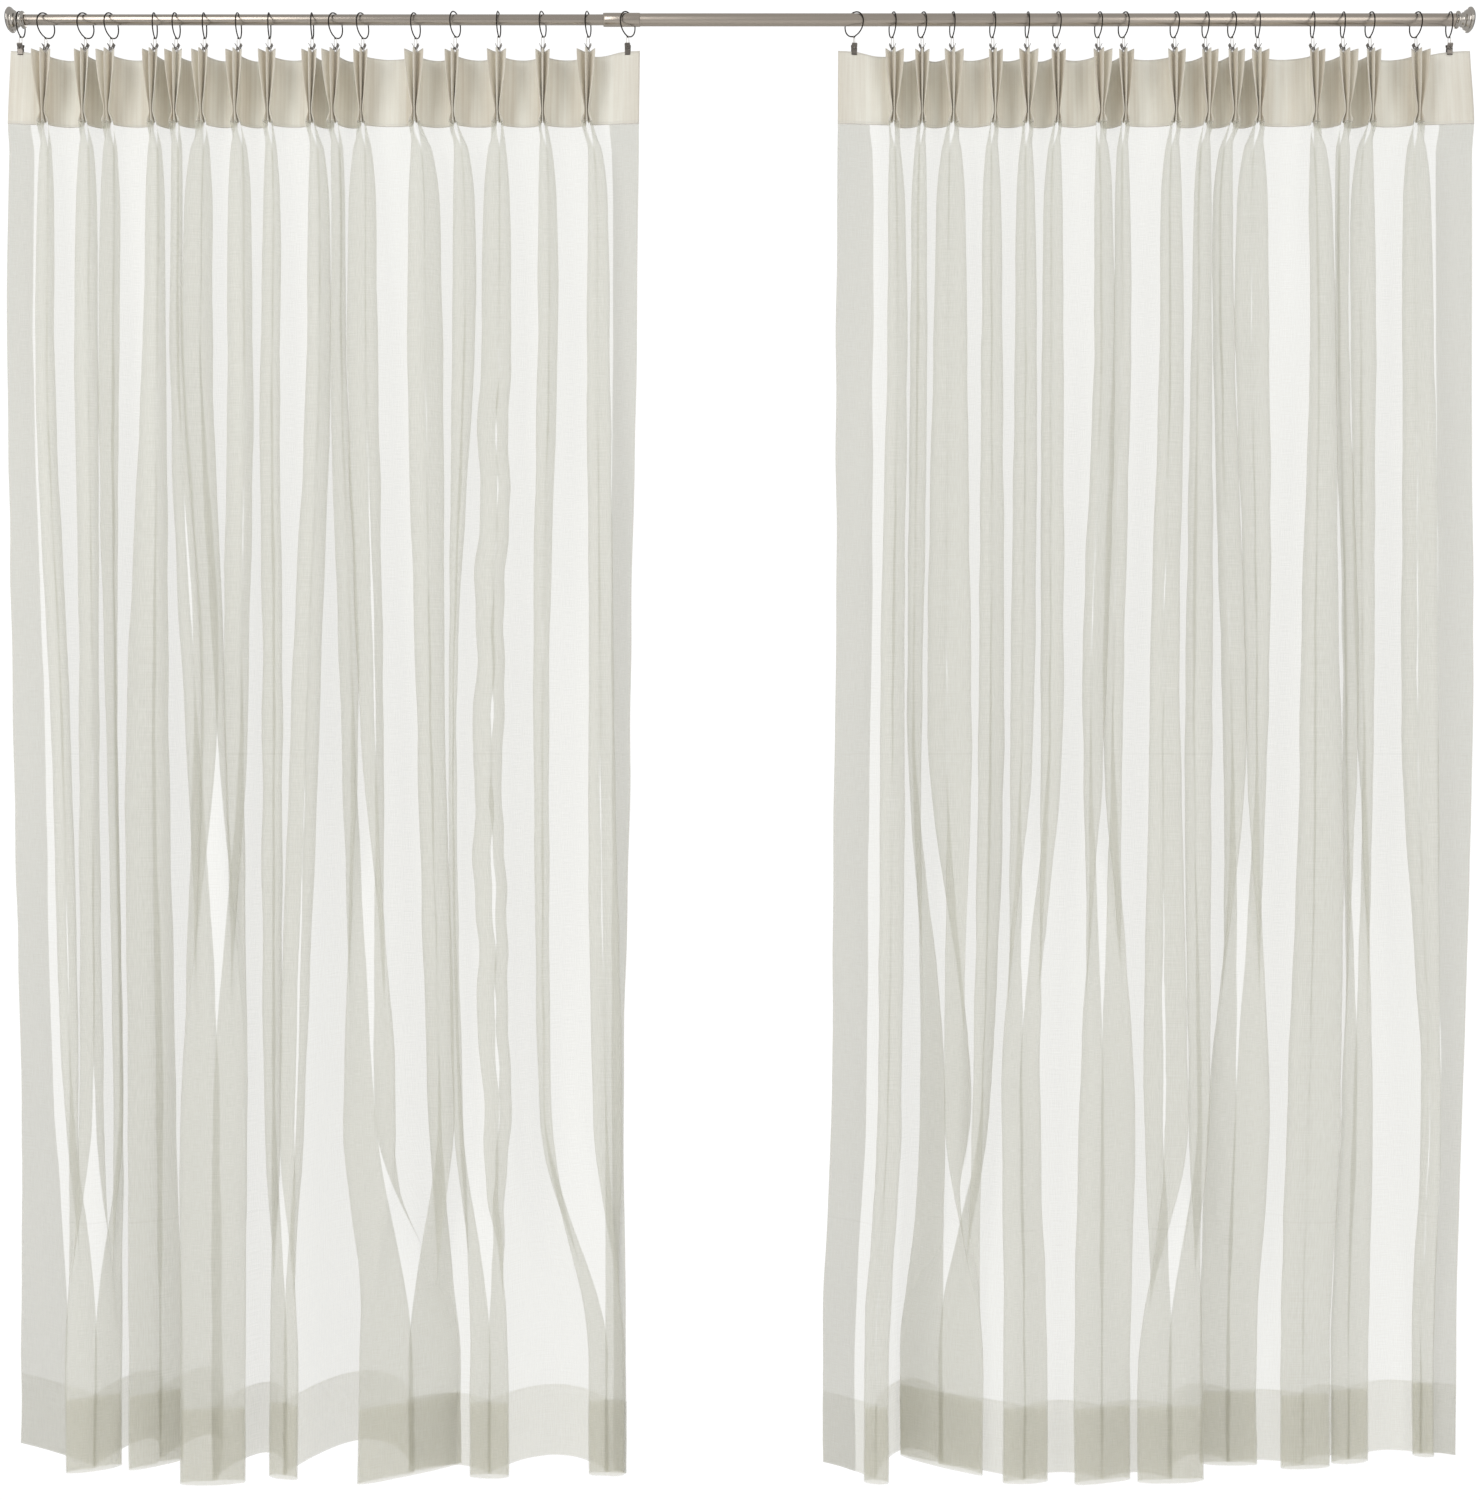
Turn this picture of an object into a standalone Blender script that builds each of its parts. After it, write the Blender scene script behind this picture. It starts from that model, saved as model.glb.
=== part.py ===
"""A pair of sheer pinch-pleated curtains, clipped to rings on a telescoping tension rod.

Metres, +Z up, and the curtains face -Y. The world origin is the centre of the right end pad's
outer face, where the rod presses on the wall. Everything hangs under an empty at the middle of
the rod, so sizes along X below are counted from there.
"""

from math import cos, hypot, pi, radians, sin

import bmesh
import bpy
from mathutils import Matrix, Vector

GAP = 0.0003  # between pieces that touch

# Rod, along X.
ROD_LENGTH = 2.282  # from pad face to pad face
OUTER_TUBE_R = 0.0095
OUTER_TUBE_WALL = 0.0006
TUBE_PLAY = 0.0009  # between the inner tube and the outer tube's bore
INNER_TUBE_WALL = 0.0008
JOINT_X = -0.213  # the joint collar's open end
COLLAR_LENGTH = 0.057
COLLAR_WALL = 0.00045
COLLAR_LIP = 0.006  # closes in front of the outer tube, round the inner one
COLLAR_EDGE = 0.0003
SLIDE_CLEARANCE = 0.0003
INNER_TUBE_OVERLAP = 0.330  # hidden in the outer tube at rest
TURNED_SIDES = 20

# End flanges.
PAD_R = 0.0165
PAD_THICK = 0.0016
PAD_EDGE = 0.0004
FLANGE_RIM_R = 0.0192
RIDGE_R = 0.0146
WAIST_R = 0.0092
WAIST_SHARE = 0.70  # how far along the flange the waist is, from the wall
DISC_R = 0.0132
FLANGE_LENGTH = 0.026  # from the wall to the tube's end
SCREW_R = 0.0020
SCREW_HEAD_R = 0.0042
SCREW_HEAD_THICK = 0.0024
SCREW_LENGTH = 0.036
PLUG_LENGTH = 0.022

# Twist lock inside the tubes: a cam turns on an eccentric pin.
CAM_OFFSET = 0.0005  # from the tube's axis to the pin, and from the pin to the cam's middle
CAM_LENGTH = 0.012
CAM_PIN_R = 0.0025
LOCK_PLUG_LENGTH = 0.025
LOCK_NECK = 0.002

# Clip rings.
RING_R = 0.0186  # to the middle of the wire
WIRE_R = 0.0009
RING_SIDES = 14
SEAT_CLEARANCE = 0.0004
SHANK_R = 0.0008
CLIP_TOP_Z = -0.037
CLIP_HEIGHT = 0.018
CLIP_WIDTH = 0.009
PRONG_SPREAD = 0.0052  # from the middle to the tip of a prong
JAW_HALF = 0.0026
JAW_SLOT = 0.0010
PRONG_THICK = 0.0010
BRIDGE_DEPTH = 0.0070  # from the top of the clip to its pivot
SLOT_DEPTH = 0.0100  # from the top of the clip to the bottom of the slot

# Curtains.
HEADER_BOTTOM_Z = -0.150
HEM_BOTTOM_Z = -2.240
CLOTH_THICK = 0.0012
HEADER_FRONT = -0.022  # the pleats' crests at the header, in Y
HEADER_BACK = 0.020
HEM_FOLD = 0.014  # small folds that run on from the pleats
HEM_WAVE = 0.090  # wide folds, one to two pleats
HEM_FORWARD = -0.005
EDGE_TUCK = 0.016  # how much narrower each edge is at the hem
WALL_MARGIN = 0.005  # from a wall to the curtain's outer edge
OPENING_WIDTH = 0.307  # between the two curtains
STEPS_PER_PLEAT = 4
BODY_ROWS = 3

# The outermost ring of the left curtain hangs in its flange's waist, and that of the right one
# just inside its flange. Each other ring has its place across the curtain, as a share of the
# width from the outer edge. Turns are about the vertical, in degrees.
END_RING_INSET = 0.0085
LEFT_END_TURN = 2
RIGHT_END_TURN = -6
LEFT_RINGS = (
    (0.054, -22), (0.117, -21), (0.158, -15), (0.227, 7), (0.261, -1), (0.306, 7),
    (0.360, 2), (0.409, 8), (0.477, 7), (0.514, -22), (0.557, -18), (0.641, -13),
    (0.704, -17), (0.773, -2), (0.843, -10), (0.915, -9), (0.978, -34),
)
RIGHT_RINGS = (
    (0.083, 9), (0.156, 3), (0.199, -8), (0.247, -8), (0.334, -5), (0.375, 5),
    (0.417, 2), (0.466, 8), (0.547, 14), (0.587, 7), (0.653, 10), (0.700, 1),
    (0.755, 6), (0.819, 6), (0.867, 16), (0.914, 12), (0.975, 46),
)
REACH_COLLAR_X = -0.470  # rings beyond this can slide over the collar

HALF = ROD_LENGTH / 2
PANEL_WIDTH = HALF - WALL_MARGIN - OPENING_WIDTH / 2
INNER_TUBE_R = OUTER_TUBE_R - OUTER_TUBE_WALL - TUBE_PLAY
COLLAR_R = OUTER_TUBE_R + GAP + COLLAR_WALL
FLANGE_FACE = PAD_THICK + GAP
CLIP_BOTTOM_Z = CLIP_TOP_Z - CLIP_HEIGHT
HEADER_TOP_Z = CLIP_BOTTOM_Z - 2 * GAP


def clear_scene():
    for obj in list(bpy.data.objects):
        bpy.data.objects.remove(obj, do_unlink=True)


def new_collection(name):
    collection = bpy.data.collections.new(name)
    bpy.context.scene.collection.children.link(collection)
    return collection


def new_material(name, color, roughness, metallic):
    material = bpy.data.materials.new(name)
    material.use_nodes = True
    shader = material.node_tree.nodes["Principled BSDF"]
    shader.inputs["Base Color"].default_value = (*color, 1.0)
    shader.inputs["Roughness"].default_value = roughness
    shader.inputs["Metallic"].default_value = metallic
    return material


def new_empty(name, parent=None, x=0.0):
    empty = bpy.data.objects.new(name, None)
    parts.objects.link(empty)
    empty.parent = parent
    empty.location = (x, 0, 0)
    return empty


def add_object(name, mesh, material, parent, collection=None):
    obj = bpy.data.objects.new(name, mesh)
    (collection or parts).objects.link(obj)
    obj.parent = parent
    if not mesh.materials:
        mesh.materials.append(material)
    return obj


def mesh_of(bm, name):
    bmesh.ops.recalc_face_normals(bm, faces=bm.faces)
    mesh = bpy.data.meshes.new(name)
    bm.to_mesh(mesh)
    bm.free()
    return mesh


def as_cutter(obj):
    obj.hide_render = True
    obj.display_type = "WIRE"
    return obj


def smooth(obj):
    obj.data.shade_smooth()
    obj.data.set_sharp_from_angle(angle=radians(35))


def turned(name, outline, material, parent, x=0.0, towards=1, closed=True, z=0.0):
    """Turns an outline of (distance along X, radius) points, top to bottom, about an axis along X."""
    mesh = bpy.data.meshes.new(name)
    points = [(radius, 0, along) for along, radius in outline]
    edges = [(i, i + 1) for i in range(len(points) - 1)]
    if closed:
        edges.append((len(points) - 1, 0))
    mesh.from_pydata(points, edges, [])
    obj = add_object(name, mesh, material, parent)
    obj.location = (x, 0, z)
    obj.rotation_euler = (0, towards * pi / 2, 0)
    screw = obj.modifiers.new("turn", "SCREW")
    screw.steps = TURNED_SIDES
    screw.render_steps = TURNED_SIDES
    screw.use_smooth_shade = True
    screw.use_merge_vertices = True
    screw.merge_threshold = 0.00001
    smooth(obj)
    return obj


def tube(name, low, high, radius, bore, material, parent):
    outline = [(high, radius), (low, radius), (low, bore), (high, bore)]
    return turned(name, outline, material, parent)


def rod_tubes(set_up, sliding_end):
    outer_start = JOINT_X + COLLAR_LIP + GAP
    tube_end = HALF - FLANGE_LENGTH - GAP
    tube("outer_tube", outer_start, tube_end, OUTER_TUBE_R,
         OUTER_TUBE_R - OUTER_TUBE_WALL, nickel, set_up)
    tube("inner_tube", -tube_end, JOINT_X + INNER_TUBE_OVERLAP, INNER_TUBE_R,
         INNER_TUBE_R - INNER_TUBE_WALL, nickel, sliding_end)
    lip_bore = INNER_TUBE_R + SLIDE_CLEARANCE
    wide_bore = OUTER_TUBE_R + GAP
    collar_end = JOINT_X + COLLAR_LENGTH
    edge_r = COLLAR_R - COLLAR_EDGE
    outline = [
        (collar_end, edge_r), (collar_end - COLLAR_EDGE, COLLAR_R),
        (JOINT_X + COLLAR_EDGE, COLLAR_R), (JOINT_X, edge_r), (JOINT_X, lip_bore),
        (JOINT_X + COLLAR_LIP, lip_bore), (JOINT_X + COLLAR_LIP, wide_bore),
        (collar_end, wide_bore),
    ]
    turned("joint_collar", outline, nickel, set_up)


def along_flange(share):
    return FLANGE_FACE + share * (FLANGE_LENGTH - FLANGE_FACE)


def flange_outline():
    """The stepped bell, from the wall side in: (distance from the wall, radius)."""
    bell = [
        (0.0, FLANGE_RIM_R - 0.0020), (0.07, FLANGE_RIM_R - 0.0002), (0.14, FLANGE_RIM_R),
        (0.22, FLANGE_RIM_R - 0.0014), (0.29, RIDGE_R + 0.0010), (0.35, RIDGE_R + 0.0004),
        (0.44, RIDGE_R - 0.0008), (0.49, RIDGE_R - 0.0032), (0.56, RIDGE_R - 0.0034),
        (WAIST_SHARE - 0.07, WAIST_R + 0.0006), (WAIST_SHARE, WAIST_R),
        (WAIST_SHARE + 0.05, WAIST_R + 0.0006), (0.80, DISC_R - 0.0016), (0.85, DISC_R),
        (0.91, DISC_R - 0.0002), (1.0, OUTER_TUBE_R + 0.0006),
    ]
    hole = SCREW_R + GAP
    pocket = SCREW_HEAD_R + GAP
    floor = FLANGE_FACE + SCREW_HEAD_THICK + 2 * GAP
    bore = [(FLANGE_LENGTH, hole), (floor, hole), (floor, pocket), (FLANGE_FACE, pocket)]
    return [(along_flange(share), radius) for share, radius in bell] + bore


def end_set(side, parent, towards):
    """Flange, pad and screw at a wall. towards is +1 where the rod runs to +X from the wall."""
    wall = -towards * HALF
    outline = [(-along, radius) for along, radius in flange_outline()]
    turned(side + "_flange", outline, polished, parent, wall, -towards)
    pad = [(0, 0), (0, PAD_R - PAD_EDGE), (-PAD_EDGE, PAD_R), (-PAD_THICK, PAD_R), (-PAD_THICK, 0)]
    turned(side + "_pad", pad, rubber, parent, wall, -towards, closed=False)
    head = -PAD_THICK - 2 * GAP
    neck = head - SCREW_HEAD_THICK
    screw = [(head, 0), (head, SCREW_HEAD_R), (neck, SCREW_HEAD_R), (neck, SCREW_R),
             (head - SCREW_LENGTH, SCREW_R), (head - SCREW_LENGTH, 0)]
    turned(side + "_screw", screw, steel, parent, wall, -towards, closed=False)


def tube_plug(side, parent, towards, bore):
    """The plug pressed in a tube's end, that the flange's screw runs into."""
    wall = -towards * HALF
    start = -FLANGE_LENGTH - 2 * GAP
    end = start - PLUG_LENGTH
    hole = SCREW_R + GAP
    outline = [(start, hole), (start, bore - GAP), (end, bore - GAP), (end, hole)]
    turned(side + "_tube_plug", outline, plastic, parent, wall, -towards)


def cutting_rod(name, low, high, radius, parent, z=0.0):
    obj = turned(name, [(high, 0), (high, radius), (low, radius), (low, 0)], plastic, parent,
                 closed=False, z=z)
    parts.objects.unlink(obj)
    cutters.objects.link(as_cutter(obj))
    return obj


def combine(obj, other, operation):
    modifier = obj.modifiers.new(operation.lower(), "BOOLEAN")
    modifier.operation = operation
    modifier.object = other


def twist_lock(inner, cam_pivot):
    """A plug in the inner tube's hidden end, with an eccentric pin that a cam ring turns on."""
    end = JOINT_X + INNER_TUBE_OVERLAP
    plug_r = INNER_TUBE_R - INNER_TUBE_WALL - GAP
    neck_end = end + LOCK_NECK
    cam_start = neck_end + GAP
    cam_end = cam_start + CAM_LENGTH
    body = [(neck_end, 0), (neck_end, plug_r), (end - LOCK_PLUG_LENGTH, plug_r),
            (end - LOCK_PLUG_LENGTH, 0)]
    plug = turned("lock_plug", body, plastic, inner, closed=False)
    pin_end = cam_end + 2 * GAP
    pin = cutting_rod("lock_pin", end, pin_end, CAM_PIN_R, inner, CAM_OFFSET)
    combine(plug, pin, "UNION")
    cam_r = OUTER_TUBE_R - OUTER_TUBE_WALL - 2 * CAM_OFFSET - SLIDE_CLEARANCE
    solid = [(cam_end, 0), (cam_end, cam_r), (cam_start, cam_r), (cam_start, 0)]
    cam = turned("lock_cam", solid, plastic, cam_pivot, closed=False, z=CAM_OFFSET)
    hole = cutting_rod("lock_cam_hole", end, pin_end + CAM_LENGTH, CAM_PIN_R + GAP, cam_pivot)
    combine(cam, hole, "DIFFERENCE")


def clip_outline():
    """A sprung clip seen edge on: two prongs above, the pivot, and two jaws with a slot below."""
    slot = JAW_SLOT / 2
    tip = PRONG_SPREAD - PRONG_THICK
    half = [
        (PRONG_SPREAD, 0), (JAW_HALF, -SLOT_DEPTH + 0.0005), (JAW_HALF, -CLIP_HEIGHT + 0.0008),
        (slot + 0.0006, -CLIP_HEIGHT), (slot, -CLIP_HEIGHT), (slot, -SLOT_DEPTH),
    ]
    other = [(-x, z) for x, z in reversed(half)]
    return half + other + [(-tip, 0), (-0.0011, -BRIDGE_DEPTH), (0.0011, -BRIDGE_DEPTH), (tip, 0)]


def clip_mesh():
    """The clip and the shank it hangs from, seen edge on along Y, with their origin on the rod's axis."""
    curve = bpy.data.curves.new("clip_outline", "CURVE")
    curve.dimensions = "2D"
    curve.fill_mode = "BOTH"
    curve.extrude = CLIP_WIDTH / 2
    points = clip_outline()
    spline = curve.splines.new("POLY")
    spline.points.add(len(points) - 1)
    for point, (x, z) in zip(spline.points, points):
        point.co = (x, z, 0, 1)
    spline.use_cyclic_u = True
    flat = bpy.data.objects.new("clip_flat", curve)
    cutters.objects.link(flat)
    flat.rotation_euler = (pi / 2, 0, 0)
    flat.location = (0, 0, CLIP_TOP_Z)
    bpy.context.view_layer.update()
    mesh = bpy.data.meshes.new_from_object(flat.evaluated_get(bpy.context.evaluated_depsgraph_get()))
    bm = bmesh.new()
    bm.from_mesh(mesh)
    bmesh.ops.remove_doubles(bm, verts=bm.verts, dist=1e-6)
    bm.transform(flat.matrix_world)
    bpy.data.objects.remove(flat, do_unlink=True)
    return mesh_of(bm, "clip")


def shank_mesh(top):
    """The wire from the lowest point of a ring's wire down to its clip's pivot."""
    bottom = CLIP_TOP_Z - BRIDGE_DEPTH - SHANK_R
    bm = bmesh.new()
    bmesh.ops.create_cone(bm, cap_ends=True, segments=5, radius1=SHANK_R, radius2=SHANK_R,
                          depth=top - bottom, matrix=Matrix.Translation((0, 0, (top + bottom) / 2)))
    return mesh_of(bm, "shank")


def ring_mesh():
    bpy.ops.mesh.primitive_torus_add(major_segments=RING_SIDES, minor_segments=4,
                                     major_radius=RING_R, minor_radius=WIRE_R,
                                     rotation=(0, pi / 2, 0))
    torus = bpy.context.object
    bm = bmesh.new()
    bm.from_mesh(torus.data)
    bm.transform(Matrix.Rotation(pi / 2, 4, "Y"))
    bpy.data.objects.remove(torus, do_unlink=True)
    return mesh_of(bm, "ring")


def clears(centre, turn, need):
    """Whether a turned ring whose middle is at this height keeps its wire this far from the axis."""
    corners = [2 * pi * i / RING_SIDES for i in range(RING_SIDES + 1)]
    path = [(RING_R * sin(a) * cos(radians(turn)), centre + RING_R * cos(a)) for a in corners]
    for (y0, z0), (y1, z1) in zip(path, path[1:]):
        for share in (0, 0.25, 0.5, 0.75):
            if hypot(y0 + share * (y1 - y0), z0 + share * (z1 - z0)) < need:
                return False
    return True


def hang_height(seat_r, turn):
    """The height of a ring's middle as it hangs on a round seat."""
    need = seat_r + SEAT_CLEARANCE + WIRE_R
    low, high = need - RING_R, 0.0
    if clears(low, turn, need):
        return low
    for _ in range(12):
        middle = (low + high) / 2
        if clears(middle, turn, need):
            high = middle
        else:
            low = middle
    return high


def clip_ring(name, x, turn, seat_r, faces_front, parent, shapes):
    """A ring round the rod, its shank and its clip, joined into one solid."""
    centre = hang_height(seat_r, turn)
    ring = add_object(name, shapes["ring"], dark_wire, parent)
    ring.location = (x - parent.location.x, 0, centre)
    ring.rotation_euler = (0, 0, radians(turn))
    hung = {"shank": shank_mesh(centre - RING_R), "clip": shapes["clip"]}
    for part, mesh in hung.items():
        piece = add_object(f"{name}_{part}", mesh, dark_wire, parent, cutters)
        piece.location = (x - parent.location.x, 0, 0)
        piece.rotation_euler = (0, 0, pi / 2 if faces_front and part == "clip" else 0)
        combine(ring, as_cutter(piece), "UNION")


def seat_radius(side, index, x):
    if side == "right":
        return OUTER_TUBE_R
    if index == 0:
        return WAIST_R + 0.0006
    return COLLAR_R if x > REACH_COLLAR_X else INNER_TUBE_R


def from_middle(side, from_wall):
    return from_wall - HALF if side == "left" else HALF - from_wall


def across(side, share):
    """A place across a curtain, from the middle of the rod."""
    return from_middle(side, WALL_MARGIN + share * PANEL_WIDTH)


def end_ring_x(side):
    inset = along_flange(WAIST_SHARE) if side == "left" else FLANGE_LENGTH + END_RING_INSET
    return from_middle(side, inset)


def clip_rings(side, end_turn, rings, parent):
    shapes = {"ring": ring_mesh(), "clip": clip_mesh()}
    places = [(end_ring_x(side), end_turn), *((across(side, share), turn) for share, turn in rings)]
    for index, (x, turn) in enumerate(places):
        faces_front = index in (0, len(rings))
        name = f"{side}_clip_ring_{index + 1:02d}"
        clip_ring(name, x, turn, seat_radius(side, index, x), faces_front, parent, shapes)


def fold_columns(side, rings):
    """Places across a panel at the header: a crest at each pleat, a hollow between two."""
    pleats = [across(side, share) for share, _ in rings[:-1]]
    stops = sorted([across(side, 0), *pleats, across(side, 1)])
    columns = []
    for index in range(len(stops) - 1):
        for step in range(STEPS_PER_PLEAT):
            share = step / STEPS_PER_PLEAT
            x = stops[index] + share * (stops[index + 1] - stops[index])
            columns.append((x, index + share))
    columns.append((stops[-1], len(stops) - 1))
    return columns


def fold_depth(phase, last, drop):
    """Y of the cloth where phase counts pleats and drop runs from 0 at the header to 1 at the hem."""
    middle = (HEADER_FRONT + HEADER_BACK) / 2
    swing = (HEADER_BACK - HEADER_FRONT) / 2
    fade = min(phase, last - phase, 1)
    small = (swing + (HEM_FOLD - swing) * drop) * cos(2 * pi * phase)
    wide = HEM_WAVE * drop * cos(pi * phase) * fade
    return middle + HEM_FORWARD * drop - small - wide


def cloth_panel(name, columns, heights, material, parent):
    """Cloth between a list of heights, as a folded sheet with thickness."""
    middle = (columns[0][0] + columns[-1][0]) / 2
    half = (columns[-1][0] - columns[0][0]) / 2
    last = columns[-1][1]
    bm = bmesh.new()
    rows = []
    for z in heights:
        drop = max(0.0, (HEADER_BOTTOM_Z - z) / (HEADER_BOTTOM_Z - HEM_BOTTOM_Z))
        row = []
        for x, phase in columns:
            drawn_in = middle + (x - middle) * (half - EDGE_TUCK * drop) / half
            place = Vector((drawn_in - parent.location.x, fold_depth(phase, last, drop), z))
            row.append(bm.verts.new(place))
        rows.append(row)
    for upper, lower in zip(rows, rows[1:]):
        for i in range(len(upper) - 1):
            bm.faces.new((upper[i], lower[i], lower[i + 1], upper[i + 1]))
    panel = add_object(name, mesh_of(bm, name), material, parent)
    shell = panel.modifiers.new("thickness", "SOLIDIFY")
    shell.thickness = CLOTH_THICK
    shell.offset = 0
    smooth(panel)


def curtain(side, end_turn, rings, parent):
    pivot = new_empty(side + "_curtain", parent, end_ring_x(side))
    clip_rings(side, end_turn, rings, pivot)
    columns = fold_columns(side, rings)
    header_heights = (HEADER_TOP_Z, HEADER_BOTTOM_Z)
    cloth_panel(side + "_header_band", columns, header_heights, header_cloth, pivot)
    top = HEADER_BOTTOM_Z - 2 * GAP
    heights = [top + (HEM_BOTTOM_Z - top) * row / BODY_ROWS for row in range(BODY_ROWS + 1)]
    cloth_panel(side + "_sheer_panel", columns, heights, sheer_cloth, pivot)


clear_scene()
parts = new_collection("curtain_set")
cutters = new_collection("cutters")
nickel = new_material("brushed_nickel", (0.42, 0.38, 0.33), 0.34, 1.0)
polished = new_material("polished_nickel", (0.55, 0.52, 0.48), 0.14, 1.0)
rubber = new_material("grey_rubber", (0.10, 0.10, 0.10), 0.85, 0.0)
steel = new_material("zinc_steel", (0.50, 0.50, 0.52), 0.35, 1.0)
plastic = new_material("white_plastic", (0.80, 0.80, 0.78), 0.50, 0.0)
dark_wire = new_material("dark_nickel_wire", (0.12, 0.11, 0.10), 0.35, 1.0)
header_cloth = new_material("header_cloth", (0.80, 0.76, 0.68), 0.90, 0.0)
sheer_cloth = new_material("sheer_cloth", (0.83, 0.82, 0.77), 0.90, 0.0)

rod = new_empty("rod_middle", None, -HALF)
sliding = new_empty("sliding_end", rod)
cam_axis = new_empty("lock_cam_pivot", sliding)
cam_axis.location.z = CAM_OFFSET

rod_tubes(rod, sliding)
end_set("left", sliding, 1)
end_set("right", rod, -1)
tube_plug("left", sliding, 1, INNER_TUBE_R - INNER_TUBE_WALL)
tube_plug("right", rod, -1, OUTER_TUBE_R - OUTER_TUBE_WALL)
twist_lock(sliding, cam_axis)
curtain("left", LEFT_END_TURN, LEFT_RINGS, sliding)
curtain("right", RIGHT_END_TURN, RIGHT_RINGS, rod)
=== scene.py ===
# A pair of sheer pinch-pleated curtains, clipped to rings on a telescoping tension rod.
#
# Metres, +Z up, and the curtains face -Y. The rod's axis is at Y = 0 and Z = 0. A curtain is one
# surface: for each height it has a row of guide points across the cloth, from the outer edge to
# the inner one, and a smooth curve runs through them. Distances across are counted from the
# middle of the rod, so the two curtains share their code.

from math import cos, pi, radians, sin

import bmesh
import bpy
import numpy as np
from mathutils import Matrix, Vector


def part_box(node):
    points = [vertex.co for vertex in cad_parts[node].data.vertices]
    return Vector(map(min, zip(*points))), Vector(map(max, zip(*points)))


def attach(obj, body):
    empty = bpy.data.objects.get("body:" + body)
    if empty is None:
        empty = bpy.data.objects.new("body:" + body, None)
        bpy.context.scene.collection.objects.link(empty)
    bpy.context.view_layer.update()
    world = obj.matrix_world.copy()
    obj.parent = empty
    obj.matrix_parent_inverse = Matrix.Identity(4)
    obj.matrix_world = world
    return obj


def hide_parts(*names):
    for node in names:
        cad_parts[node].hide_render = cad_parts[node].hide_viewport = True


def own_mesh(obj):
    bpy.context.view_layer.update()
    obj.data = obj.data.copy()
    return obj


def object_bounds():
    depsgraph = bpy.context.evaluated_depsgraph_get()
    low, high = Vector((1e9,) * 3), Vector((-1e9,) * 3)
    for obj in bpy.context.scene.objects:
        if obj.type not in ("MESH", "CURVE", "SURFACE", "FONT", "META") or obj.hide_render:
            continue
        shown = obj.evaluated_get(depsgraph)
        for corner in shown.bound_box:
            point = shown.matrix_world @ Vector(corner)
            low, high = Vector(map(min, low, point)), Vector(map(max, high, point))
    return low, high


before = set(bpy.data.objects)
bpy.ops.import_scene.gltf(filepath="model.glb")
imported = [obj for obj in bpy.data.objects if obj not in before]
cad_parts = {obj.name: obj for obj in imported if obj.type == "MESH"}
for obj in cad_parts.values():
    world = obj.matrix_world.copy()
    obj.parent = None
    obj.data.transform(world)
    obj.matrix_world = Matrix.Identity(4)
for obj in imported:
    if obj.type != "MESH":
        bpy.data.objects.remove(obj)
CAD_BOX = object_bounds()

MM = 0.001
ROD_MIDDLE = (CAD_BOX[0].x + CAD_BOX[1].x) / 2
SIDES = {"left": -1, "right": 1}

# Heights of the cloth's guide rows, from the header's top to the hem.
HEADER_TOP = -0.0530
HEADER_SAG = 0.0042  # between two clips
CORNER_LIFT = 0.0032
PINCH = -0.148  # where a pleat's fingers are tacked together
HEADER_BOTTOM = -0.163
BODY_TOP = -0.156
HEM_BOTTOM = -2.236
HEM_DEPTH = 0.110
SIDE_HEM = 0.036
LAYER_GAP = 0.0008
BUCKRAM = 0.0009

# What the cloth was cut to, and the clips that hold it: one on each pleat and one on each corner.
PLEAT_CLOTH = 0.105
FLAT_CLOTH = 0.080
OUTER_EDGE_CLOTH = FLAT_CLOTH * 0.8
INNER_EDGE_CLOTH = FLAT_CLOTH * 1.05
PLEATS = 16
CLIPS = PLEATS + 2

# How far below the header's top the cloth was folded in its packet, and its hem's stitching.
PACKET_FOLDS = (1.092, 1.806)
HEM_DEPTH_DOWN = HEADER_TOP - HEM_BOTTOM - HEM_DEPTH + 0.002

# Guide points across one pleat, one flat and one edge piece.
PLEAT_POINTS = 15
FLAT_POINTS = 5
EDGE_POINTS = 6
SAMPLES = 4  # of the cloth's mesh, for each guide point

# The header's guide rows: height in metres, then in millimetres how far a pleat's fingers spread
# and reach forward, how far a flat bows back, and half the width of a pleat's root.
HEADER_ROWS = (
    (HEADER_TOP, 12.5, 27, 15, 2.0), (-0.075, 11.5, 27, 15, 2.0), (-0.118, 6.5, 25, 14, 1.7),
    (PINCH, 2.4, 21, 13, 1.2), (HEADER_BOTTOM, 7.0, 19, 12, 2.5),
)
# Below it the pleats open into folds: (height, how far they have come towards the first folds).
OPENING_ROWS = ((-0.205, 0.62), (-0.285, 0.90))

# Folds at four heights, in millimetres: how many pleats a fold takes up, and how far its outer
# and inner edges are from the rod's middle. The last row, which the cloth keeps down to its hem,
# also has the Y of each fold's front at both edges, and of the deepest cloth between it and the
# next fold.
FOLD_HEIGHTS = (-0.43, -1.09, -1.69, -2.07)
FOLD_FRONTS = (-26, -52, -80)  # Y of the crests, above the hem
FOLD_BACKS = (22, 38, 52)  # Y of the deepest hollows
FOLD_NECKS = (4, -12, -36)  # Y of the folds' closed backs
HEM_SHARES = (0.0, 0.30, 0.68)  # how far the cloth has come towards its Y at the hem
FOLD_DEPTH = 16  # at the hem, from a fold's front to its closed back
WAVY_PLEAT = 13  # of the left curtain, counted from 0 at its outer edge
CORNERS = {"left": (40, -78), "right": (-8, -34)}  # Y of each hem's outer and inner corner
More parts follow.
